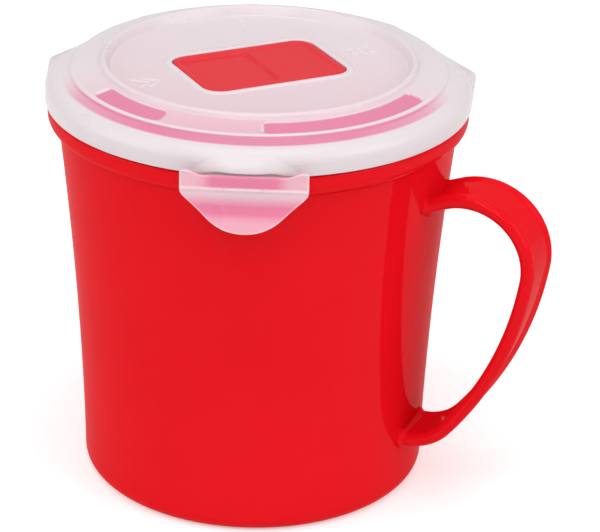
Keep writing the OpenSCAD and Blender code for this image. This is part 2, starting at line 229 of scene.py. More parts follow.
def new_mesh(name: str, points: Array, faces: list[Array], smooth_angle: float = 40.0,
             clear: Array | None = None) -> Object:
    """A mesh object from whole arrays: positions, one run of corner numbers, and each face's start in it.

    Args:
        name: Name of the object and its mesh.
        points: Vertex positions in millimetres, of shape (..., 3).
        faces: Arrays of vertex numbers, each of shape (count, corners).
        smooth_angle: Edges sharper than this stay hard.
        clear: How clear the plastic is at each point, from 0 for milky to 1, as the attribute "clear".

    Returns:
        The new object, linked to the scene at the origin, its faces turned outwards.
    """
    co = np.ascontiguousarray(points.reshape(-1, 3) * MM, dtype=np.float32)
    corners = np.concatenate([f.ravel() for f in faces]).astype(np.int32)
    sizes = np.concatenate([np.full(len(f), f.shape[1]) for f in faces]).astype(np.int32)
    starts = np.concatenate([[0], np.cumsum(sizes)[:-1]]).astype(np.int32)
    mesh = bpy.data.meshes.new(name)
    mesh.vertices.add(len(co))
    mesh.vertices.foreach_set("co", co.ravel())
    mesh.loops.add(len(corners))
    mesh.loops.foreach_set("vertex_index", corners)
    mesh.polygons.add(len(sizes))
    mesh.polygons.foreach_set("loop_start", starts)
    mesh.update(calc_edges=True)
    mesh.validate()
    if clear is not None:
        values = np.ascontiguousarray(clear, dtype=np.float32).ravel()
        mesh.attributes.new("clear", "FLOAT", "POINT").data.foreach_set("value", values)
    obj = bpy.data.objects.new(name, mesh)
    bpy.context.scene.collection.objects.link(obj)
    point_outwards(obj)
    mesh.polygons.foreach_set("use_smooth", np.ones(len(mesh.polygons), dtype=bool))
    mesh.set_sharp_from_angle(angle=np.radians(smooth_angle))
    return obj


# Finishes


def feed(tree: Tree, node: bpy.types.Node, **inputs: Socket | float | Colour) -> None:
    """Links or sets inputs of a node.

    Args:
        tree: Node tree.
        node: Node of that tree.
        **inputs: Names of inputs, with underscores for spaces, and the socket or value of each.
    """
    for name, value in inputs.items():
        socket = node.inputs[name.replace("_", " ")]
        if isinstance(value, Socket):
            tree.links.new(value, socket)
        else:
            socket.default_value = value


def add_node(tree: Tree, kind: str, **inputs: Socket | float) -> bpy.types.Node:
    """Adds a node to a tree.

    Args:
        tree: Node tree.
        kind: The node's type, without the word ShaderNode before it.
        **inputs: Inputs to link or set, as feed() takes them.

    Returns:
        The node.
    """
    node = tree.nodes.new("ShaderNode" + kind)
    feed(tree, node, **inputs)
    return node


class Shader:
    """A node material with a Principled shader and helpers that add its detail."""

    # Colour sockets of a mix node, by number, because its other sockets have the same names.
    MIX_SHARE, MIX_LOW, MIX_HIGH, MIX_RESULT = 0, 6, 7, 2

    def __init__(self, name: str) -> None:
        """Makes a material with one Principled shader.

        Args:
            name: Name of the material.
        """
        self.material = bpy.data.materials.new(name)
        self.material.use_nodes = True
        self.tree = self.material.node_tree
        self.tree.nodes.clear()
        self.surface = add_node(self.tree, "BsdfPrincipled")
        add_node(self.tree, "OutputMaterial", Surface=self.surface.outputs["BSDF"])
        self.place = add_node(self.tree, "TexCoord").outputs["Object"]

    def set(self, **inputs: Socket | float | Colour) -> None:
        """Links or sets inputs of the Principled shader, as feed() takes them."""
        feed(self.tree, self.surface, **inputs)

    def noise(self, scale: float, detail: float = 2.0) -> Socket:
        """Noise in object space, of so many waves in a metre and octaves of finer noise."""
        return add_node(self.tree, "TexNoise", Vector=self.place, Scale=scale, Detail=detail).outputs["Fac"]

    def attribute(self, name: str) -> Socket:
        """Value of a point attribute of the mesh.

        Args:
            name: Name of the attribute.

        Returns:
            The value socket.
        """
        node = add_node(self.tree, "Attribute")
        node.attribute_name = name
        return node.outputs["Fac"]

    def ramp(self, source: Socket, stops: list[tuple[float, Colour]]) -> Socket:
        """Colour from a value.

        Args:
            source: Value socket.
            stops: Places from 0 to 1 and their linear colours.

        Returns:
            The colour socket.
        """
        node = add_node(self.tree, "ValToRGB", Fac=source)
        while len(node.color_ramp.elements) < len(stops):
            node.color_ramp.elements.new(0.5)
        for element, (place, colour) in zip(node.color_ramp.elements, stops):
            element.position = place
            element.color = (*colour, 1.0)
        return node.outputs["Color"]

    def blend(self, share: Socket, low: Socket, high: Socket) -> Socket:
        """Colour between two others.

        Args:
            share: Value socket, 0 for the first colour and 1 for the second.
            low: Socket of the first colour.
            high: Socket of the second colour.

        Returns:
            The colour socket.
        """
        node = add_node(self.tree, "Mix")
        node.data_type = "RGBA"
        for source, number in ((share, self.MIX_SHARE), (low, self.MIX_LOW), (high, self.MIX_HIGH)):
            self.tree.links.new(source, node.inputs[number])
        return node.outputs[self.MIX_RESULT]

    def remap(self, source: Socket, low: float, high: float, start: float = 0.3, end: float = 0.7) -> Socket:
        """Value from low, where the source is at the start or less, to high at the end or more."""
        inputs = {"From_Min": start, "From_Max": end, "To_Min": low, "To_Max": high}
        return add_node(self.tree, "MapRange", Value=source, **inputs).outputs["Result"]

    def bump(self, source: Socket, height: float, strength: float) -> Socket:
        """Normals of a relief: height in metres where the source is 1, and the share that shows."""
        node = add_node(self.tree, "Bump", Height=source, Distance=height, Strength=strength)
        return node.outputs["Normal"]


@dataclass(frozen=True)
class RedPlastic:
    """Glossy moulded red plastic, with the soft unevenness of a moulded surface."""

    name: str = "red_moulded_plastic"
    deep: Colour = (0.75, 0.0035, 0.009)
    light: Colour = (0.80, 0.006, 0.013)
    roughness: float = 0.24
    coat: float = 0.16

    def make(self) -> Material:
        """Builds the node material.

        Returns:
            The material.
        """
        shader = Shader(self.name)
        shader.set(
            IOR=1.45, Specular_IOR_Level=0.0, Coat_Weight=self.coat, Coat_Roughness=0.05, Coat_IOR=1.4,
            Base_Color=shader.ramp(shader.noise(14.0, 3.0), [(0.3, self.deep), (0.7, self.light)]),
            Roughness=shader.remap(shader.noise(60.0), self.roughness, self.roughness + 0.03),
            Normal=shader.bump(shader.noise(40.0, 1.0), height=0.00006, strength=0.15),
        )
        return shader.material


@dataclass(frozen=True)
class FrostedPlastic:
    """Milky translucent plastic, clearer where the attribute "clear" is higher.

    At 0 it is milky, at 0.5 as clear as the panels, and at 1 it hardly shows. Towards 0.5 it turns
    pink: the red behind shows through the alpha, and the pink tint on top is painted red light of the
    mug's lit inside.
    """

    name: str = "frosted_plastic"
    milky: Colour = (0.745, 0.665, 0.69)
    milky_light: Colour = (0.755, 0.675, 0.70)
    # Painted light: the panels' pink stands in for the lit red inside of the mug seen through them.
    panel: Colour = (0.89, 0.265, 0.44)
    inside: Colour = (0.95, 0.85, 0.9)
    alphas: tuple[float, ...] = (0.96, 0.78, 0.06)
    roughness: float = 0.26

    def make(self) -> Material:
        """Builds the node material.

        Returns:
            The material.
        """
        shader = Shader(self.name)
        clear = shader.attribute("clear")
        milky = shader.ramp(shader.noise(18.0, 1.0), [(0.1, self.milky), (0.9, self.milky_light)])
        # Painted red light: the pink between milky and clear stands in for the lit red mug seen through the
        # plastic.
        tint_with_painted_red_glow = shader.ramp(clear, [(0.0, (1.0, 1.0, 1.0)), (0.5, self.panel), (1.0, self.inside)])
        shader.set(
            IOR=1.48, Specular_IOR_Level=0.4,
            Base_Color=shader.blend(shader.remap(clear, 0.0, 1.0, 0.0, 0.5), milky, tint_with_painted_red_glow),
            Alpha=shader.ramp(clear, [(at, (alpha,) * 3) for at, alpha in zip((0.0, 0.5, 1.0), self.alphas)]),
            Roughness=shader.remap(shader.noise(60.0, 1.0), self.roughness, self.roughness + 0.04, 0.0, 1.0),
            Normal=shader.bump(shader.noise(500.0, 1.0), height=0.000004, strength=0.2),
        )
        return shader.material


@dataclass(frozen=True)
class Silicone:
    """Soft translucent silicone, matt and slightly cloudy."""

    name: str = "soft_silicone"
    deep: Colour = (0.90, 0.86, 0.87)
    light: Colour = (0.95, 0.92, 0.93)

    def make(self) -> Material:
        """Builds the node material.

        Returns:
            The material.
        """
        shader = Shader(self.name)
        shader.set(
            IOR=1.41, Alpha=0.4, Sheen_Weight=0.1,
            Base_Color=shader.ramp(shader.noise(80.0, 3.0), [(0.3, self.deep), (0.7, self.light)]),
            Roughness=shader.remap(shader.noise(300.0, 3.0), 0.5, 0.65),
            Normal=shader.bump(shader.noise(1200.0), height=0.00001, strength=0.4),
        )
        return shader.material


# Pieces


@dataclass(kw_only=True)
class Piece:
    """What every sub-assembly shares: its finish, and how it is tied to the CAD.

    It moves with the body and has the record's slot. The CAD node that it replaces is empty where it
    belongs to another piece's moulding.
    """

    material: Material
    body: Body = Body.LID
    slot: Slot = Slot.FROSTED
    node: str = ""

    def mesh(self) -> Object:
        """Makes the bare mesh object, in each class by its own formula."""
        raise NotImplementedError

    def build(self) -> Object:
        """Makes the piece, dresses it and ties it to the CAD.

        Returns:
            The piece.
        """
        obj = self.mesh()
        obj.data.materials.clear()
        obj.data.materials.append(self.material)
        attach(obj, self.body.value)
        if self.node:
            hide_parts(self.node)
        LOG.info("%s: %d faces on %s", obj.name, len(obj.data.polygons), self.body.value)
        return obj


@dataclass(kw_only=True)
class MugShell(Piece):
    """Wall, floor, collar and neck of the mug."""

    body: Body = Body.MUG
    slot: Slot = Slot.RED
    node: str = "mug_body"
    wall_top_r: float = 54.5
    taper: float = 6.3
    curve: float = 1.72
    wall: float = 2.2
    floor: float = 2.6
    corner_r: float = 4.0
    inner_corner_r: float = 6.0
    collar_r: float = 57.4
    collar_arc_r: float = 3.016
    collar_mid_z: float = 105.9
    collar_top_z: float = 109.0
    edge_r: float = 0.9
    neck_r: float = 55.0
    neck_foot_r: float = 0.4
    bore_r: float = 52.4
    rim_z: float = 112.8
    pocket_floor: float = 55.075
    pocket_min_r: float = 54.6
    pocket_side_r: float = 56.2
    pocket_low_z: float = 100.9
    pocket_high_z: float = 104.55
    pocket_half_w: float = 11.5
    pocket_step: float = 0.06

    def arc_mid_r(self) -> float:
        """Distance of the centre of the collar's arc from the axis."""
        return self.collar_r - self.collar_arc_r

    def kink_z(self) -> float:
        """Height where the collar's arc leaves the wall."""
        return self.collar_mid_z - np.sqrt(self.collar_arc_r**2 - (self.wall_top_r - self.arc_mid_r())**2)

    def wall_r(self, z: Array | float) -> Array:
        """Outer radius of the wall: base radius plus taper times (z / kink height) to the power curve."""
        share = np.clip(np.asarray(z, dtype=float) / self.kink_z(), 0.0, None)
        return self.wall_top_r - self.taper + self.taper * share**self.curve

    def band(self) -> Array:
        """Outline of the collar's arc, with two rows close together at the top of the catch pockets.

        Returns:
            Array of (radius, height), upwards.
        """
        swell = np.degrees(np.arcsin((self.kink_z() - self.collar_mid_z) / self.collar_arc_r))
        z = self.pocket_high_z + np.array([-self.pocket_step, self.pocket_step])
        r = self.arc_mid_r() + np.sqrt(self.collar_arc_r**2 - (z - self.collar_mid_z)**2)
        even = arc(self.arc_mid_r(), self.collar_mid_z, self.collar_arc_r, swell, 0, 30)
        rows = np.concatenate([even, np.stack([r, z], axis=1)])
        return rows[np.argsort(rows[:, 1])]

    def outline(self) -> Array:
        """Outline of the wall's section, from the axis under the base, up the outside and down inside.

        Returns:
            Array of (radius, height).
        """
        base_r = float(self.wall_r(self.corner_r)) - self.corner_r
        wall_z = np.linspace(self.corner_r, self.kink_z(), 47)[1:-1]
        inner_wall_z = wall_z[::-2]
        top_z, foot = self.collar_top_z, self.neck_foot_r
        edge_mid_r, edge_mid_z = self.collar_r - self.edge_r, top_z - self.edge_r
        lip = (self.neck_r - self.bore_r) / 2
        lip_z = self.rim_z - lip
        inner_z = self.floor + self.inner_corner_r
        inner_r = float(self.wall_r(inner_z)) - self.wall - self.inner_corner_r
        return np.concatenate([
            run((0.0, 0.0), (base_r, 0.0), 10),
            arc(base_r, self.corner_r, self.corner_r, -90, 0, 12),
            np.stack([self.wall_r(wall_z), wall_z], axis=1),
            self.band(),
            run((self.collar_r, self.collar_mid_z + 0.3), (self.collar_r, edge_mid_z), 3),
            arc(edge_mid_r, edge_mid_z, self.edge_r, 0, 90, 7),
            run((self.neck_r + foot + 0.5, top_z), (self.neck_r + foot, top_z), 2),
            arc(self.neck_r + foot, top_z + foot, foot, -90, -180, 4),
            run((self.neck_r, top_z + foot + 0.5), (self.neck_r, lip_z), 3),
            arc(self.neck_r - lip, lip_z, lip, 0, 180, 17),
            run((self.bore_r, lip_z - 0.6), (self.bore_r, self.collar_mid_z), 4),
            np.stack([self.wall_r(inner_wall_z) - self.wall, inner_wall_z], axis=1)[:-4],
            arc(inner_r, inner_z, self.inner_corner_r, 0, -90, 12),
            run((inner_r - 2.0, self.floor), (0.0, self.floor), 9),
            [[0.0, self.floor]],
        ])

    def mesh(self) -> Object:
        """Turns the outline about Z, and presses the two catch pockets into the collar.

        The point at angle a is (r cos a, r sin a, z). Within a pocket, r is cut to the distance of the
        pocket's flat floor over the cosine of the angle from the clip's direction.

        Returns:
            The mug's shell.
        """
        profile = self.outline()
        r, z = profile[:, :1], profile[:, 1:]
        half = np.degrees(np.arcsin(self.pocket_half_w / self.pocket_side_r))
        sides = [CLIP_ANGLE + clip + sign * half + step for clip in (0, 180) for sign in (-1, 1)
                 for step in (-self.pocket_step, self.pocket_step)]
        even = np.linspace(0.0, 360.0, 360, endpoint=False)
        angles = np.unique(np.concatenate([even, np.mod(sides, 360.0)]))
        off = np.mod(angles - CLIP_ANGLE + 90.0, 180.0) - 90.0
        floor = self.pocket_floor / np.cos(np.radians(np.clip(off, -60, 60)))
        high = (z > self.pocket_low_z) & (z < self.pocket_high_z) & (r > self.pocket_min_r)
        radius = np.where(high & (np.abs(off) < half), np.minimum(r, floor), r)
        faces = [grid_faces(len(profile), len(angles), False, True)]
        return new_mesh("mug_shell", polar(radius, angles, z), faces, 34.0)


@dataclass(kw_only=True)
class StrapHandle(Piece):
    """The strap handle: three tangent arcs that carry a web between two round edges."""

    body: Body = Body.MUG
    slot: Slot = Slot.RED
    shell: MugShell
    height: float = 71.0
    low_z: float = 18.6
    start_r: float = 50.0
    root_angle: float = 3.0
    radius_shares: tuple[float, ...] = (0.211, 1.384, 0.248)
    turns: tuple[float, ...] = (48.0, 31.4, 119.1)
    low_run: float = 2.6
    high_run: float = 6.2
    width: float = 17.6
    thickness: float = 3.8
    web: float = 2.4
    fillet: float = 1.4
    fillet_gap: float = 0.2
    side_fillet: float = 0.7
    side_grow: float = 0.25
    side_start: float = 5.3
    side_ease: float = 3.5

    def path(self) -> tuple[Array, Array]:
        """Centre line in the XZ plane: a straight run, the three arcs, and one more run.

        A point of an arc is its centre plus the radius times (sin h, -cos h), where h is the heading.

        Returns:
            Points (distance, height) and headings in radians.
        """
        heading, at = np.radians(self.root_angle), np.array([self.start_r, self.low_z])
        back = np.linspace(-self.low_run, 0.0, 12, endpoint=False)[:, None]
        points = [at + back * np.array([np.cos(heading), np.sin(heading)])]
        headings = [np.full(len(back), heading)]
        for share, turn in zip(self.radius_shares, self.turns):
            r, count = share * self.height, max(24, int(turn * 0.8))
            centre = at + r * np.array([-np.sin(heading), np.cos(heading)])
            h = heading + np.radians(np.linspace(0.0, turn, count, endpoint=False))
            points.append(centre + r * np.stack([np.sin(h), -np.cos(h)], axis=1))
            headings.append(h)
            heading += np.radians(turn)
            at = centre + r * np.array([np.sin(heading), -np.cos(heading)])
        ahead = np.linspace(0.0, self.high_run, 30)[:, None]
        points.append(at + ahead * np.array([np.cos(heading), np.sin(heading)]))
        headings.append(np.full(len(ahead), heading))
        return np.concatenate(points), np.concatenate(headings)

    def section(self) -> Array:
        """Closed section: round edges of the full thickness, eased into the thinner web.

        Past the edge's centre, half the thickness is the circle's height, and between the centres it
        eases by a cubic ramp from the web to the edge.

        Returns:
            Array of (across, out).
        """
        r = self.thickness / 2
        mid = self.width / 2 - r
        cap = arc(mid, 0.0, r, 0, 90, 10)
        v = np.linspace(mid, -mid, 31)[1:-1]
        h = self.web / 2 + (r - self.web / 2) * smoothstep((np.abs(v) - mid * 0.7) / (mid * 0.3))
        top = np.concatenate([cap, np.stack([v, h], axis=1), cap[::-1] * (-1, 1)])
        return np.concatenate([top, top[1:-1][::-1] * (1, -1)])

    def mesh(self) -> Object:
        """Carries the section along the centre line, and swells it by a quarter circle near the wall.

        A point (v, h) of the section on the line's point (x, z) with heading a lies at
        (x + h sin a, v, z - h cos a). Where the line is d outside the wall, less than the fillet f, the
        thickness grows on both sides by f - sqrt(f^2 - (f - d)^2), less towards the edges, and the
        width by the same share of the side fillet.

        Returns:
            The handle.
        """
        line, heading = self.path()
        across, out = self.section().T
        x, z, a = line[:, :1], line[:, 1:], heading[:, None]
        gap = np.clip(x - self.shell.wall_r(z) - self.fillet_gap, 0.0, self.fillet)
        grow = self.fillet - np.sqrt(np.maximum(self.fillet**2 - (self.fillet - gap) ** 2, 0.0))
        edge = 1.0 - (1.0 - self.side_grow) * smoothstep((np.abs(across) - self.side_start) / self.side_ease)
        v = across * (1.0 + 2.0 * grow / self.fillet * self.side_fillet / self.width)
        h = out * (1.0 + 2.0 * grow * edge / self.thickness)
        points = np.stack([x + h * np.sin(a), v, z - h * np.cos(a)], axis=-1)
        return new_mesh("mug_handle", points, tube_faces(*h.shape), 50.0)


@dataclass(kw_only=True)
class Lid(Piece):
    """The frosted lid: skirt, pointed corners, sloping ring, clear panels, bead and the vent's well.

    It is a closed grid of rows round the axis, whose points stand at the field angle, counted from the
    front clip. The finished grid is turned to the clip's place.
    """

    node: str = "lid"
    skirt_r: float = SKIRT_R
    skirt_z: float = 109.35
    wall: float = 1.5
    rim_z: float = 116.3
    round_r: float = 3.8
    shoulder_r: float = 51.0
    shoulder_z: float = 118.0
    foot_z: float = 119.4
    bead_r: float = 41.9
    bead_half_w: float = 1.4
    bead_h: float = 1.3
    disc_z: float = DISC_Z
    disc_gap: float = 1.2
    plug_r: float = 51.2
    plug_low_z: float = 107.5
    corner_angle: float = 104.5
    corner_reach: float = 61.4
    corner_z: float = 112.65
    vent_turn: float = VENT_ANGLE - CLIP_ANGLE
    vent_l: float = 42.4
    vent_w: float = 29.4
    vent_r: float = 5.3
    lip_w: float = 1.8
    lip_h: float = 0.3
    well_z: float = 111.8
    hole_r: float = 3.5
    hole_u: float = 12.5
    panels: tuple[tuple[float, float], ...] = ((-58.0, -28.0), (4.3, 65.0))
    panel_in: float = 43.9
    panel_out: float = 49.9
    panel_depth: float = 0.5
    panel_corner_r: float = 1.7
    panel_edge: float = 0.45
    panel_clear: float = 0.5
    facet_angle: float = 119.0
    facet_half: float = 14.0
    facet_ease: float = 7.0
    fade_angle: float = 58.0
    fade_ease: float = 30.0
    angle: Array = field(default_factory=lambda: np.linspace(-180.0, 180.0, 480, endpoint=False))

    def disc_r(self) -> float:
        """Radius of the flat disc inside the bead."""
        return self.bead_r - self.bead_half_w - self.disc_gap

    def corner_radius(self) -> Array:
        """Radius of the skirt's foot with its two pointed corners.

        Two tangents of the skirt's circle meet at the reach: within the angle whose cosine is skirt over
        reach, the radius is the skirt's over the cosine of what is left to the tangent point. At the tip
        the angle eases as a hyperbola, less a small bell curve.

        Returns:
            Radii.
        """
        half = np.degrees(np.arccos(self.skirt_r / self.corner_reach))
        off = np.abs(np.abs(self.angle) - self.corner_angle)
        eased = np.sqrt(off**2 + 1.3**2) - 0.35 * bell(off / 2.0)
        r = self.skirt_r / np.cos(np.radians(np.clip(half - eased, 0.0, half)))
        return np.where(off < half, r, self.skirt_r)

    def panel_mask(self, radius: Array | float) -> Array:
        """How far points lie within a clear panel, from 0 outside to 1 on its floor.

        A panel is a rounded rectangle bent round the axis: along it counts the arc length, across it the
        radius. The mask ramps up from its edge inwards.

        Args:
            radius: Distances from the axis.

        Returns:
            Values from 0 to 1.
        """
        mid, width = (self.panel_in + self.panel_out) / 2, self.panel_out - self.panel_in
        mask = np.zeros(np.broadcast(self.angle, radius).shape)
        for start, end in self.panels:
            along, length = np.radians(self.angle - (start + end) / 2) * mid, np.radians(end - start) * mid
            edge = rounded_rect_distance(along, radius - mid, length, width, self.panel_corner_r)
            mask = np.maximum(mask, smoothstep(-edge / self.panel_edge))
        return mask

    def facet(self, radius: float, height: float) -> Array:
        """Heights round the rim once the flat facets behind the pointed corners are cut.

        A facet falls straight from the shoulder to the corners' height on the skirt, and fades by a
        cubic ramp on each side.

        Args:
            radius: Distance from the axis.
            height: Height of the rounded rim there.

        Returns:
            Heights.
        """
        share = np.clip((self.skirt_r - radius) / (self.skirt_r - self.shoulder_r), 0.0, 1.0)
        flat = self.corner_z + 0.05 + (self.shoulder_z - 0.4 - self.corner_z) * share
        off = np.abs(np.abs(self.angle) - self.facet_angle) - self.facet_half
        cut = 1.0 - smoothstep(off / self.facet_ease)
        return height - cut * max(height - flat, 0.0) * (radius > self.shoulder_r)

    def top_rows(self) -> Array:
        """Outline of the lid's upper side, from the rim's rounding over the ring and bead to the disc.

        Returns:
            Array of (radius, height).
        """
        bead_out, bead_in = self.bead_r + self.bead_half_w, self.bead_r - self.bead_half_w
        round_mid_r = self.skirt_r - self.round_r
        ring_r = np.linspace(self.shoulder_r - 0.9, bead_out + 0.4, 34)
        share = (self.shoulder_r - ring_r) / (self.shoulder_r - bead_out)
        ring_z = self.shoulder_z + (self.foot_z - self.shoulder_z) * share
        bead = arc(self.bead_r, 0.0, self.bead_half_w, 12, 172, 19)
        drop = (self.foot_z - self.disc_z) * smoothstep((self.bead_r - bead[:, 0]) / self.bead_half_w)
        bead[:, 1] = self.foot_z - drop + bead[:, 1] * self.bead_h / self.bead_half_w
        return np.concatenate([
            arc(round_mid_r, self.rim_z - self.round_r, self.round_r, 6, 90, 20),
            run((round_mid_r - 0.6, self.rim_z + 0.15), (self.shoulder_r + 0.5, self.shoulder_z - 0.55), 9),
            arc(self.shoulder_r - 0.62, self.shoulder_z - 1.22, 1.25, 30, 82, 7),
            np.stack([ring_r, ring_z], axis=1),
            bead,
            run((bead_in - 0.3, self.disc_z + 0.04), (bead_in - self.disc_gap, self.disc_z), 2),
        ])

    def ring(self, r: Array | float, z: Array | float) -> Array:
        """One row: radius and height, each the same all round or one value an angle."""
        return polar(r, self.angle, z)

    def frame_row(self, grow: float, z: float) -> Array:
        """One row along the vent's outline, grown all round by grow."""
        sizes = (self.vent_l + 2 * grow, self.vent_w + 2 * grow, self.vent_r + grow)
        return self.ring(rounded_rect_radius(np.radians(self.angle - self.vent_turn), *sizes), z)

    def hole_row(self, z: float, share: float) -> Array:
        """One row between the vent's outline, share 0, and the steam hole, share 1."""
        hole = self.ring(self.hole_r, z) + polar(self.hole_u, self.vent_turn, 0.0)
        return self.frame_row(0.0, z) * (1 - share) + hole * share

    def outside(self) -> Array:
        """Rows of the outer surface, from under the skirt up over the top to the vent's lip.

        They are circles with the corners, facets and panels worked in. Across the disc they blend from
        the circle to the vent's outline.

        Returns:
            Array of shape (rows, angles, 3), with the front clip along +X.
        """
        corner = self.corner_radius()
        out = np.clip(corner - self.skirt_r, 0.0, 1.0)
        rows = [self.ring(self.skirt_r - 1.2, self.skirt_z)]
        for inset, rise in ((0.35, 0.0), (0.1, 0.1), (0.0, 0.35)):
            rows.append(self.ring(corner - inset, self.skirt_z + rise))
        for inset, drop in ((0.05, 0.55), (0.15, 0.2), (0.45, 0.0)):
            rows.append(self.ring(corner - inset * out, self.corner_z - drop))
        rows.append(self.ring(self.skirt_r, self.corner_z + 0.05))
        for r, z in self.top_rows():
            rows.append(self.ring(r, self.facet(r, z) - self.panel_depth * self.panel_mask(r)))
        disc, frame = self.ring(self.disc_r(), self.disc_z), self.frame_row(self.lip_w, self.disc_z)
        rows += [disc * (1 - share) + frame * share for share in np.linspace(0.08, 0.94, 12)]
        lip = ((self.lip_w + 0.1, 0.0), (self.lip_w - 0.05, 0.2), (self.lip_w - 0.25, 0.75),
               (self.lip_w - 0.6, 1.0), (0.55, 1.0), (0.15, 0.85), (0.0, 0.3))
        rows += [self.frame_row(grow, self.disc_z + share * self.lip_h) for grow, share in lip]
        return np.stack(rows)

    def inside(self) -> Array:
        """Rows of the rest: down the well to the steam hole, and back underneath to the skirt.

        On the well's floor the rows blend from the vent's outline to the round hole. Underneath they lie
        the wall's thickness further in, round the plug that stands in the mug's neck.

        Returns:
            Array of shape (rows, angles, 3), with the front clip along +X.
        """
        well_low, disc_low, foot_low, shoulder_low, roof, plug_in = (
            size - self.wall for size in
            (self.well_z, self.disc_z, self.foot_z, self.shoulder_z, self.rim_z, self.plug_r))
        rows = [self.frame_row(0.0, z) for z in np.linspace(self.disc_z - 1.0, self.well_z + 0.6, 4)]
        rows.append(self.frame_row(-0.15, self.well_z + 0.15))
        rows += [self.hole_row(self.well_z, share) for share in (0.06, 0.35, 0.7, 1.0)]
        rows += [self.hole_row(well_low, share) for share in (1.0, 0.6, 0.2)]
        for grow, z in ((-0.5, well_low), (-0.1, well_low + 0.3), (0.0, well_low + 0.8),
                        (0.0, disc_low - 0.5), (0.5, disc_low)):
            rows.append(self.frame_row(self.wall + grow, z))
        disc = self.ring(self.disc_r(), disc_low)
        rows += [rows[-1] * (1 - share) + disc * share for share in (0.3, 0.65)]
        outline = np.concatenate([
            [(self.disc_r(), disc_low), (self.bead_r - 1.0, disc_low + 0.9),
             (self.bead_r, foot_low + self.bead_h), (self.bead_r + 1.0, foot_low + 0.5),
             (self.bead_r + 2.2, foot_low - 0.1),
             (plug_in - 0.6, shoulder_low + 0.05), (plug_in, shoulder_low - 0.5),
             (plug_in, self.plug_low_z + 0.4), (plug_in + 0.3, self.plug_low_z),
             (self.plug_r - 0.4, self.plug_low_z), (self.plug_r, self.plug_low_z + 0.5),
             (self.plug_r, roof - 0.3), (self.plug_r + 0.3, roof), (self.skirt_r - self.round_r - 0.2, roof)],
            arc(self.skirt_r - self.round_r, self.rim_z - self.round_r, self.round_r - self.wall, 88, 2, 8),
            [(self.skirt_r - self.wall, self.skirt_z + 0.3)],
        ])
        return np.stack(rows + [self.ring(r, z) for r, z in outline])

    def clearness(self, points: Array) -> Array:
        """How clear the plastic looks outside: milky in thick or steep places, clear in the panels.

        Soft steps of the distance from the axis part the disc, the sloping ring, a milky line along the
        shoulder that is a painted highlight on its edge, the clear band past it and the milky skirt. They
        are clearer the nearer the front clip. The panels' mask goes on top, with a milky line round it
        that is a painted highlight on the panels' sunk edge, and the bead and lip are milkier.

        Args:
            points: The outer rows.

        Returns:
            Values from 0 to 1, shaped as the points.
        """
        r = np.hypot(points[..., 0], points[..., 1])
        past = r - self.shoulder_r
        near = 0.5 + 0.5 * points[..., 0] / self.skirt_r
        fade = 1.0 - smoothstep((np.abs(self.angle) - self.fade_angle) / self.fade_ease)
        disc = 0.07 + 0.24 * near
        ring = 0.06 + 0.36 * near**2 * (0.4 + 0.6 * fade)
        band = 0.05 + 0.5 * near * fade
        out = disc + (ring - disc) * smoothstep((r - self.bead_r - 1.3) / 0.8)
        out += (band - out) * smoothstep((past + 0.1) / 0.5)
        # Painted highlight: a milky line just inside the shoulder stands in for the light caught on the
        # shoulder's edge.
        out *= 1.0 - 0.95 * bell((past + 0.5) / 0.4, 4)
        out += 0.08 * bell((past - 0.3) / 0.4)
        out *= 1.0 - 0.97 * smoothstep((past - 2.4) / 1.2)
        out *= 1.0 - 0.3 * bell((r - self.bead_r) / self.bead_half_w, 4)
        panel = self.panel_mask(r)
        # Painted highlight: the milky line round each panel stands in for the light caught on the panel's
        # sunk edge.
        out = np.maximum(out * (1.0 - 2.8 * panel * (1.0 - panel)), self.panel_clear * panel**2)
        lip = smoothstep((points[..., 2] - self.disc_z - 0.02) / 0.2) * (r < 30.0)
        return out * (1.0 - 0.7 * lip)

    def mesh(self) -> Object:
        """The closed grid of the lid, turned so that its front clip faces its place.

        Returns:
            The lid.
        """
        outside, inside = self.outside(), self.inside()
        rows = np.concatenate([outside, inside])
        clear = np.concatenate([self.clearness(outside), np.ones(inside.shape[:2])])
        faces = [grid_faces(*rows.shape[:2], True, True)]
        return new_mesh("lid_shell", turned(rows, CLIP_ANGLE), faces, 60.0, clear)


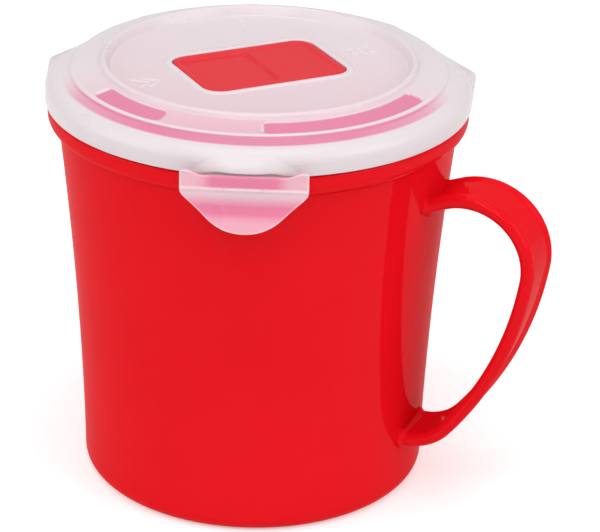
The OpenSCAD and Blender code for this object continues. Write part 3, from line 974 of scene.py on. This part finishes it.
@dataclass(kw_only=True)
class Clip(Piece):
    """One clip, facing -Y before it is turned: a plate with ears, slanted sides and a round tip."""

    angle: float
    hinge_y: float = 59.3
    hinge_z: float = 109.65
    half_w: float = 16.4
    length: float = 14.7
    ear_h: float = 2.0
    hinge_half_w: float = 12.0
    thickness: float = 1.5
    bend_r: float = 14.3
    side_r: float = 3.2
    edge_round: float = 0.45
    bead_top: float = 0.7
    ridge_z: float = -2.9
    tick_x: float = 5.0
    catch_half_w: float = 10.0
    catch_section: tuple[tuple[float, float], ...] = (
        (58.9, -5.6), (56.45, -5.6), (56.2, -5.8), (56.2, -6.4), (56.4, -6.7), (58.5, -7.95), (58.9, -7.95))
    catch_clear: float = 0.6

    def edge_low(self, x: Array) -> Array:
        """Height of the lower edge: the tip's circle out to 45 degrees, a slant, and a rounded corner.

        The corner's circle touches the slant and the side, so its middle lies its radius in from the
        side, and its radius times the tangent of 22.5 degrees up from where they would meet.

        Args:
            x: Distances from the middle.

        Returns:
            Heights from the hinge line.
        """
        mid_z, bend = self.bend_r - self.length, self.bend_r * np.sin(np.radians(45))
        on_circle = mid_z - np.sqrt(np.maximum(self.bend_r**2 - x**2, 0.0))
        low = np.where(np.abs(x) < bend, on_circle, mid_z - 2 * bend + np.abs(x))
        past = np.clip(np.abs(x) - self.half_w + self.side_r, 0.0, self.side_r)
        corner_z = mid_z - 2 * bend + self.half_w + self.side_r * np.tan(np.radians(22.5))
        corner = corner_z - np.sqrt(self.side_r**2 - past**2)
        return np.where(past > self.side_r * np.sin(np.radians(45)), corner, low)

    def edge_high(self, x: Array) -> Array:
        """Height of the upper edge: straight along the hinge line, with a ramp up to each ear.

        Args:
            x: Distances from the middle.

        Returns:
            Heights from the hinge line.
        """
        fall = 1.0 - 0.5 * smoothstep((np.abs(x) - self.half_w + 0.5) / 0.5) ** 2
        rise = smoothstep((np.abs(x) - self.hinge_half_w + 1.2) / 4.2) * fall
        return self.bead_top + (self.ear_h - self.bead_top) * rise

    def front(self, x: Array, z: Array) -> Array:
        """Distance of the outer face from the lid's axis: ridge with two ticks, hollow and flared tip.

        The ridge, the ticks and the hollow are bell curves, and the flare is a cubic ramp to a power.

        Args:
            x: Distances from the middle.
            z: Heights from the hinge line.

        Returns:
            Distances.
        """
        ridge = 0.45 * bell((z - self.ridge_z) / 0.45)
        ticks = 0.3 * bell((np.abs(x) - self.tick_x) / 0.4) * bell((z - self.ridge_z - 0.4) / 0.5)
        hollow = -0.25 * bell((z + 8.2) / 2.2)
        flare = 1.5 * smoothstep((-8.6 - z) / 6.4) ** 1.3
        return self.hinge_y + self.thickness / 2 + ridge + ticks + hollow + flare

    def clearness(self, x: Array, z: Array, low: Array) -> Array:
        """How clear the plastic looks: clear in the two hollows, milky on the ridge and along the edge.

        Args:
            x: Distances from the middle.
            z: Heights from the hinge line.
            low: Lower edge at each x.

        Returns:
            Values from 0 to 1.
        """
        middle = 1.0 - 0.6 * smoothstep((np.abs(x) - 6.0) / 7.0)
        above = 0.32 * smoothstep((z - self.ridge_z - 0.2) / 0.5) * middle
        below = 0.17 * smoothstep((self.ridge_z - 0.4 - z) / 3.0) + 0.15 * bell((z + 8.6) / 1.9)
        edge = np.minimum(z - low, (self.half_w - np.abs(x)) * 1.2)
        return np.clip(0.22 + above + below, 0.0, 0.5) * (0.2 + 0.8 * smoothstep(edge / 0.8))

    def plate(self) -> tuple[Array, list[Array], Array]:
        """Front and back of the plate as one grid that wraps round its upper and lower edge.

        A column runs down the front and back up behind it. Both faces draw in by a quarter circle along
        every edge, and one face closes each end of the grid.

        Returns:
            Points, faces, and how clear each point is.
        """
        x = self.half_w * np.sin(np.radians(np.linspace(-90, 90, 73)))
        ears = [s * (self.hinge_half_w + d) for s in (-1, 1) for d in (0.3, 0.6, 0.9, 1.2)]
        ticks = [s * self.tick_x + d for s in (-1, 1) for d in (-0.8, -0.4, 0.0, 0.4, 0.8)]
        x = np.unique(np.concatenate([x, ears, ticks]))[None, :]
        t = np.linspace(0.0, 1.0, 60)[:, None]
        high, low = self.edge_high(x), self.edge_low(x)
        z = high + (low - high) * t
        past = 1 - np.clip(np.minimum(t, 1 - t) * self.length / 0.6, 0, 1)
        side = 1 - np.clip((self.half_w - np.abs(x)) / 0.5, 0, 1)
        inset = self.edge_round * np.maximum(1 - np.sqrt(1 - past**2), 1 - np.sqrt(1 - side**2))
        face, across = self.front(x, z), np.broadcast_to(x, z.shape)
        front = np.stack([across, inset - face, z + self.hinge_z], axis=-1)
        back = np.stack([across, self.thickness - inset * 0.9 - face, z + self.hinge_z], axis=-1)
        points = np.concatenate([front, back[::-1]])
        rows, cols = points.shape[:2]
        ends = [(np.arange(rows) * cols + col)[None, :] for col in (0, cols - 1)]
        clear = np.concatenate([self.clearness(x, z, low), np.ones(z.shape)])
        return points.reshape(-1, 3), [grid_faces(rows, cols, True, False), *ends], clear.ravel()

    def mesh(self) -> Object:
        """The plate and the catch behind it, whose section is carried straight across, as one mesh.

        Returns:
            The clip.
        """
        plate, faces, clear = self.plate()
        across = self.catch_half_w * np.linspace(-1.0, 1.0, 9)[:, None]
        y, z = np.array(self.catch_section).T
        catch = np.stack(np.broadcast_arrays(across, -y, z + self.hinge_z), axis=-1)
        faces = faces + tube_faces(*catch.shape[:2], len(plate))
        points = np.concatenate([plate, catch.reshape(-1, 3)])
        clear = np.concatenate([clear, np.full(across.size * y.size, self.catch_clear)])
        return new_mesh(self.node + "_plate", turned(points, self.angle + 90.0), faces, 45.0, clear)


@dataclass(kw_only=True)
class HingeLug(Piece):
    """The straight lug under the lid's rim that carries a clip's hinge line."""

    name: str
    angle: float
    half_w: float = 16.2
    flat_half_w: float = 10.6
    ease_w: float = 14.0
    back_y: float = 56.4
    front_y: float = 59.6
    low_z: float = 110.75
    high_z: float = 115.1
    skirt_r: float = SKIRT_R
    rim_r: float = 57.0
    edge_r: float = 0.5
    slant_gap: float = 0.3
    drop: float = 1.25

    def mesh(self) -> Object:
        """The lug's section, carried across the clip, with both ends easing into the skirt.

        The front moves back by a cubic ramp from its plane to the skirt's circle, and the lower edge
        drops with it. From a quarter circle at the lower edge, the front slants back to the rim's edge.

        Returns:
            The lug.
        """
        across = np.sin(np.radians(np.linspace(-90.0, 90.0, 61)))[:, None] * self.half_w
        skirt_y = np.sqrt(self.skirt_r**2 - across**2) - 0.05
        rim_y = np.sqrt(self.rim_r**2 - across**2)
        blend = smoothstep((np.abs(across) - self.flat_half_w) / self.ease_w + 0.72)
        low = self.low_z - self.drop * smoothstep((blend - 0.35) / 0.65)
        front = self.front_y + (skirt_y - self.front_y) * blend
        back = np.minimum(self.back_y, rim_y - 0.4)
        corner_y, corner_z = arc(-self.edge_r, self.edge_r, self.edge_r, -90, 0, 6).T
        slant = np.linspace(0.0, 1.0, 9)
        start = low + self.edge_r + self.slant_gap
        y = np.concatenate([back, front + corner_y, front + (rim_y - front) * slant**1.6, back], axis=1)
        z = [low, low + corner_z, start + (self.high_z - start) * slant, np.full(low.shape, self.high_z)]
        z = np.concatenate(z, axis=1)
        points = np.stack([np.broadcast_to(across, y.shape), -y, z], axis=-1)
        return new_mesh(self.name, turned(points, self.angle + 90.0), tube_faces(*y.shape), 50.0,
                        np.zeros(y.shape))


@dataclass(kw_only=True)
class DiscMarks(Piece):
    """Plain raised marks on the lid's disc: an arrow towards the vent, and three wavy steam ribs."""

    rib_r: float = 0.45
    rib_h: float = 0.2
    rib_points: int = 10
    arrow_u: float = -31.0
    arrow_step: float = 3.0
    steam_u: float = 31.0
    steam_step: float = 2.6
    steam_half: float = 3.2
    wave_h: float = 0.55
    wave_l: float = 4.2
    clear: float = 0.05

    def paths(self) -> list[Array]:
        """Middle lines of the marks, along and across the vent's long axis.

        Returns:
            Arrays of (along, across).
        """
        foot, tip, end = (-2.6, 3.4), (1.6, 0.0), (-2.6, -3.4)
        head = np.concatenate([run(foot, tip, 8), run(tip, end, 8), [end]])
        across = np.linspace(-self.steam_half, self.steam_half, 25)
        wave = np.stack([self.wave_h * np.sin(2.0 * np.pi * across / self.wave_l), across], axis=1)
        arrow = [head + (self.arrow_u - i * self.arrow_step, 0.0) for i in (0, 1)]
        return arrow + [wave + (self.steam_u + i * self.steam_step, 0.0) for i in (-1, 0, 1)]

    def rib(self, path: Array) -> Array:
        """A flat rounded rib with tapered ends along a path on the disc.

        Square to each point of the path stands an ellipse as wide and high as the rib, times the root of
        1 - (2 s - 1)^12 for the share s along the path.

        Args:
            path: Array of (along, across).

        Returns:
            Array of shape (rows, rib points, 3).
        """
        step = np.gradient(path, axis=0)
        step /= np.linalg.norm(step, axis=1)[:, None]
        share = np.linspace(0.0, 1.0, len(path))
        taper = np.sqrt(np.maximum(1.0 - (2.0 * share - 1.0) ** 12, 0.02))[:, None]
        a = np.linspace(0.0, 2.0 * np.pi, self.rib_points, endpoint=False)
        side = np.stack([-step[:, 1], step[:, 0]], axis=1)
        flat = path[:, None, :] + side[:, None, :] * (self.rib_r * taper * np.cos(a))[:, :, None]
        return np.concatenate([flat, (DISC_Z + self.rib_h * taper * np.sin(a))[:, :, None]], axis=-1)

    def mesh(self) -> Object:
        """All the marks as one mesh.

        Returns:
            The marks.
        """
        points, faces = np.empty((0, 3)), []
        for rib in map(self.rib, self.paths()):
            faces += tube_faces(*rib.shape[:2], len(points))
            points = np.concatenate([points, rib.reshape(-1, 3)])
        clear = np.full(len(points), self.clear)
        return new_mesh("disc_marks", turned(points, VENT_ANGLE), faces, 60.0, clear)


@dataclass(kw_only=True)
class VentRocker(Piece):
    """The red rocker: two dished press areas with a ridge between them."""

    body: Body = Body.VENT
    slot: Slot = Slot.RED
    node: str = "vent_rocker"
    length: float = 41.8
    width: float = 28.8
    corner_r: float = 5.0
    top_z: float = 118.2
    thickness: float = 2.0
    frame_w: float = 1.9
    pivot_u: float = 1.7
    ridge_half_w: float = 0.5
    press_depth: float = 0.9
    lift_depth: float = 0.4
    dish_edge: float = 0.5
    mark_r: float = 0.95
    mark_v: float = 1.0
    mark_depth: float = 0.45
    rim_drop: float = 0.35
    rim_edge: float = 0.6

    def height(self, u: Array, v: Array) -> Array:
        """Height of the upper side: the frame less two dishes, each a ramp of its distance function.

        A small oval mark on the ridge and the rounded rim are taken off in the same way.

        Args:
            u: Positions along the rocker.
            v: Positions across it.

        Returns:
            Heights.
        """
        end, r = self.length / 2 - self.frame_w, self.corner_r - self.frame_w
        width = self.width - 2 * self.frame_w
        z = np.full(u.shape, self.top_z)
        left = (-end, self.pivot_u - self.ridge_half_w, self.press_depth)
        right = (self.pivot_u + self.ridge_half_w, end, self.lift_depth)
        for low, high, depth in (left, right):
            d = rounded_rect_distance(u - (low + high) / 2, v, high - low, width, r)
            z -= depth * smoothstep(-d / self.dish_edge)
        mark = np.hypot(u - self.pivot_u, (v - self.mark_v) / 1.3)
        z -= self.mark_depth * smoothstep((self.mark_r - mark) / 0.3)
        edge = rounded_rect_distance(u, v, self.length, self.width, self.corner_r)
        return z - self.rim_drop * (1 - smoothstep(-edge / self.rim_edge))

    def mesh(self) -> Object:
        """The rocker's plate as one closed grid.

        In a row at v the plate reaches from -L to L, where L is half the length less what the corner's
        circle takes. The underside is the same grid lower down, and quads join the two borders.

        Returns:
            The rocker.
        """
        half = self.width / 2
        v = half * np.sin(np.radians(np.linspace(-90, 90, 97)))[:, None]
        past = np.clip(np.abs(v) - (half - self.corner_r), 0.0, self.corner_r)
        reach = self.length / 2 - self.corner_r + np.sqrt(np.maximum(self.corner_r**2 - past**2, 0.0))
        t = np.sin(np.radians(np.linspace(-90, 90, 161))) * 0.35 + np.linspace(-1, 1, 161) * 0.65
        u, v = np.broadcast_arrays(reach * t, v)
        top = np.stack([u, v, self.height(u, v)], axis=-1)
        low = np.stack([u, v, np.full(u.shape, self.top_z - self.thickness)], axis=-1)
        rows, cols = u.shape
        number = np.arange(u.size).reshape(rows, cols)
        border = np.concatenate([number[0], number[1:, -1], number[-1, -2::-1], number[-2:0:-1, 0]])
        after = np.roll(border, -1)
        faces = [grid_faces(rows, cols, False, False), grid_faces(rows, cols, False, False, u.size),
                 np.stack([border, after, after + u.size, border + u.size], axis=1)]
        return new_mesh("vent_rocker_plate", turned(np.stack([top, low]), VENT_ANGLE), faces, 45.0)


# Studio


def place_object(data: bpy.types.Camera | bpy.types.Light, frame: Array) -> Object:
    """Puts a camera or lamp into the scene.

    Args:
        data: The camera or lamp, which also names the object.
        frame: Its three axes and its place in metres, as four rows.

    Returns:
        The new object.
    """
    obj = bpy.data.objects.new(data.name, data)
    matrix = np.eye(4)
    matrix[:3, :] = frame.T
    obj.matrix_world = Matrix(matrix.tolist())
    bpy.context.scene.collection.objects.link(obj)
    return obj


def swing(a: Array, b: Array, turn: float) -> tuple[Array, Array]:
    """Two unit vectors at a right angle, turned in their plane by radians, the first towards the second."""
    return a * np.cos(turn) + b * np.sin(turn), b * np.cos(turn) - a * np.sin(turn)


@dataclass(frozen=True)
class Lamp:
    """One soft square lamp, aimed at the mug.

    The azimuth counts from the camera's side towards its right, and the elevation from the floor up.
    Distance and edge are in metres, and the power is in watts.
    """

    name: str
    azimuth: float
    elevation: float
    distance: float
    edge: float
    power: float
    aim_z: float = 0.06

    def build(self, part_turn: float) -> None:
        """Makes the lamp.

        Args:
            part_turn: Angle from the part's -Y to the camera's side.
        """
        a, e = np.radians(self.azimuth - 90.0 + part_turn), np.radians(self.elevation)
        back = np.array([np.cos(e) * np.cos(a), np.cos(e) * np.sin(a), np.sin(e)])
        side = np.cross([0.0, 0.0, 1.0], back)
        side /= np.linalg.norm(side)
        data = bpy.data.lights.new(self.name, "AREA")
        data.size, data.energy = self.edge, self.power
        place = self.distance * back + [0.0, 0.0, self.aim_z]
        place_object(data, np.stack([side, np.cross(back, side), back, place]))


@dataclass
class Studio:
    """Floor, lamps, world and the photograph's camera, whose small turns are in radians."""

    lens_f: float = 2591.6
    distance: float = 729.0
    aim_z: float = 55.0
    elevation: float = 0.437
    yaw: float = 0.017
    pitch: float = 0.0042
    roll: float = 0.0169
    part_turn: float = 24.5
    image_w: int = 600
    sensor_w: float = 36.0
    world_strength: float = 0.45
    floor_z: float = -0.15
    floor_lift: float = 0.37
    lamps: tuple[Lamp, ...] = (
        Lamp("key", 62.0, 30.0, 1.2, 0.8, 5.0),
        Lamp("fill", -75.0, 25.0, 1.3, 0.9, 4.8),
        Lamp("front", -8.0, 42.0, 1.5, 0.7, 4.1),
        Lamp("back", 175.0, 65.0, 1.3, 0.9, 1.4),
        Lamp("top", 0.0, 80.0, 1.3, 0.9, 4.7),
        Lamp("glint", -25.0, 50.0, 1.2, 0.18, 0.8),
    )

    def camera(self) -> Object:
        """The camera, from its distance and elevation and three small turns of its axes.

        It looks from -Y of the photograph's frame at a point on the mug's axis, and is then turned by
        pitch, yaw and roll. The part's frame is the photograph's turned about Z.

        Returns:
            The camera.
        """
        c, s = np.cos(self.elevation), np.sin(self.elevation)
        place = np.array([0.0, -self.distance * c, self.aim_z + self.distance * s])
        right, ahead = np.array([1.0, 0.0, 0.0]), np.array([0.0, c, -s])
        up = np.cross(right, ahead)
        ahead, up = swing(ahead, up, self.pitch)
        ahead, right = swing(ahead, right, self.yaw)
        right, up = swing(right, up, self.roll)
        data = bpy.data.cameras.new("photo_camera")
        data.sensor_fit = "HORIZONTAL"
        data.sensor_width = self.sensor_w
        data.lens = self.lens_f * self.sensor_w / self.image_w
        data.clip_start, data.clip_end = 0.05, 20.0
        camera = place_object(data, turned(np.stack([right, up, -ahead, place * MM]), self.part_turn))
        bpy.context.scene.camera = camera
        return camera

    def seen(self, tree: Tree) -> Socket:
        """1 for camera, glossy and transmission rays, and 0 for the others.

        Args:
            tree: Node tree.

        Returns:
            The value socket.
        """
        path = add_node(tree, "LightPath")
        total = path.outputs["Is Camera Ray"]
        for kind in ("Is Glossy Ray", "Is Transmission Ray"):
            either = add_node(tree, "Math")
            either.operation = "MAXIMUM"
            tree.links.new(total, either.inputs[0])
            tree.links.new(path.outputs[kind], either.inputs[1])
            total = either.outputs["Value"]
        return total

    def world(self) -> None:
        """Even pale world light, white to camera, glossy and transmission rays."""
        world = bpy.data.worlds.new("studio_world")
        bpy.context.scene.world = world
        world.use_nodes = True
        tree = world.node_tree
        tree.nodes.clear()
        strength = add_node(tree, "MapRange", Value=self.seen(tree), To_Min=self.world_strength, To_Max=1.0)
        background = add_node(tree, "Background", Strength=strength.outputs["Result"])
        add_node(tree, "OutputWorld", Surface=background.outputs["Background"])

    def floor(self) -> None:
        """Round pale floor just under the base, lifted to white for the camera where no shadow falls."""
        angle = np.linspace(0, 360, 96, endpoint=False)
        r = np.array([0.01, 300.0, 1500.0, 4000.0])[:, None]
        obj = new_mesh("floor", polar(r, angle, self.floor_z), [grid_faces(len(r), len(angle), False, True)])
        shader = Shader("pale_floor")
        shader.set(
            Roughness=0.8, Specular_IOR_Level=0.1, Emission_Color=(1.0, 1.0, 1.0, 1.0),
            Base_Color=shader.ramp(shader.noise(3.0), [(0.3, (0.84,) * 3), (0.7, (0.88,) * 3)]),
            Emission_Strength=shader.remap(self.seen(shader.tree), 0.0, self.floor_lift, 0.0, 1.0),
        )
        obj.data.materials.append(shader.material)

    def build(self) -> None:
        """Sets up camera, world, floor, lamps and the plain view transform."""
        self.camera()
        self.world()
        self.floor()
        for lamp in self.lamps:
            lamp.build(self.part_turn)
        bpy.context.scene.view_settings.view_transform = "Standard"


def main() -> None:
    """Loads the CAD frame and builds every piece round it."""
    logging.basicConfig(level=logging.INFO, format="%(name)s: %(message)s")
    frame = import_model()
    red, frosted, silicone = RedPlastic().make(), FrostedPlastic().make(), Silicone().make()
    # The vent's red is paler than the mug's: its raised green and blue are a painted whitish sheen, standing
    # in for the room's reflection on the rocker.
    vent_red_painted_sheen = RedPlastic("red_vent_plastic_painted_sheen", (0.70, 0.04, 0.05), (0.73, 0.055, 0.065)).make()
    finishes = {Slot.RED.value: red, Slot.FROSTED.value: frosted, Slot.SILICONE.value: silicone}
    for part in frame["record"]["subparts"]:
        node = frame["nodes"][part["node"]]
        node.data.materials.clear()
        node.data.materials.append(finishes[part["material_slot"]])
    shell = MugShell(material=red)
    pieces = [shell, StrapHandle(material=red, shell=shell), Lid(material=frosted)]
    sides = (("front", Body.FRONT_CLIP, CLIP_ANGLE), ("rear", Body.REAR_CLIP, CLIP_ANGLE + 180.0))
    for side, body, angle in sides:
        pieces.append(Clip(material=frosted, body=body, node=f"{side}_clip", angle=angle))
    for side, _, angle in sides:
        pieces.append(HingeLug(material=frosted, name=f"{side}_hinge_lug", angle=angle))
    pieces += [DiscMarks(material=frosted), VentRocker(material=vent_red_painted_sheen)]
    for piece in pieces:
        piece.build()
    Studio().build()


if __name__ == "__main__":
    main()
